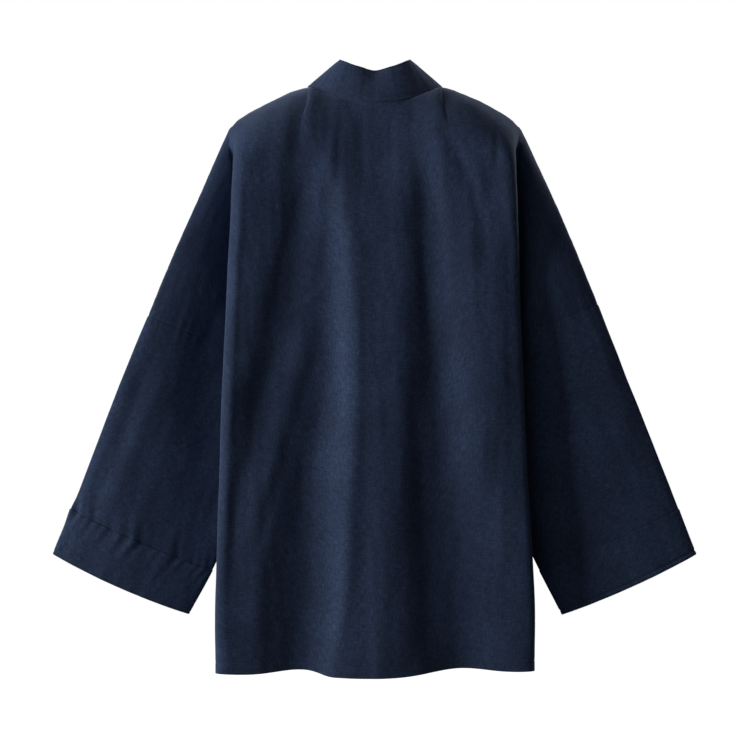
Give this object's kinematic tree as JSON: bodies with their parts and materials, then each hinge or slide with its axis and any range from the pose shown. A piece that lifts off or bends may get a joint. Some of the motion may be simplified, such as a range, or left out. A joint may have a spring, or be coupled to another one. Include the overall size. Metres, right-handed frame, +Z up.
{
  "type": "hanfu jacket",
  "caption": "Hip-length hanfu jacket in plain navy linen: open front with a straight band collar, wide sleeves cut in one with the body to a low seam, hollow as worn.",
  "frame": {"origin": "middle of the neck opening, level with the points where the shoulder seams meet the collar, where the jacket rests on its wearer", "axes": "+X to the wearer's right, +Y forwards, the way the wearer faces, and +Z up; the back of the jacket faces -Y"},
  "size_m": [0.8228, 0.2377, 0.7896],
  "materials": {
    "linen_back": "matt plain-weave linen, navy",
    "linen_front_left": "matt plain-weave linen, navy",
    "linen_front_right": "matt plain-weave linen, navy",
    "linen_sleeve_left": "matt plain-weave linen, navy",
    "linen_sleeve_right": "matt plain-weave linen, navy",
    "linen_cuff_left": "matt plain-weave linen, doubled, navy",
    "linen_cuff_right": "matt plain-weave linen, doubled, navy",
    "linen_collar": "matt plain-weave linen, doubled, navy"
  },
  "bodies": {
    "root": {"back": "linen_back", "front_left": "linen_front_left", "front_right": "linen_front_right", "sleeve_left": "linen_sleeve_left", "sleeve_right": "linen_sleeve_right", "cuff_left": "linen_cuff_left", "cuff_right": "linen_cuff_right", "collar": "linen_collar"}
  },
  "joints": []
}
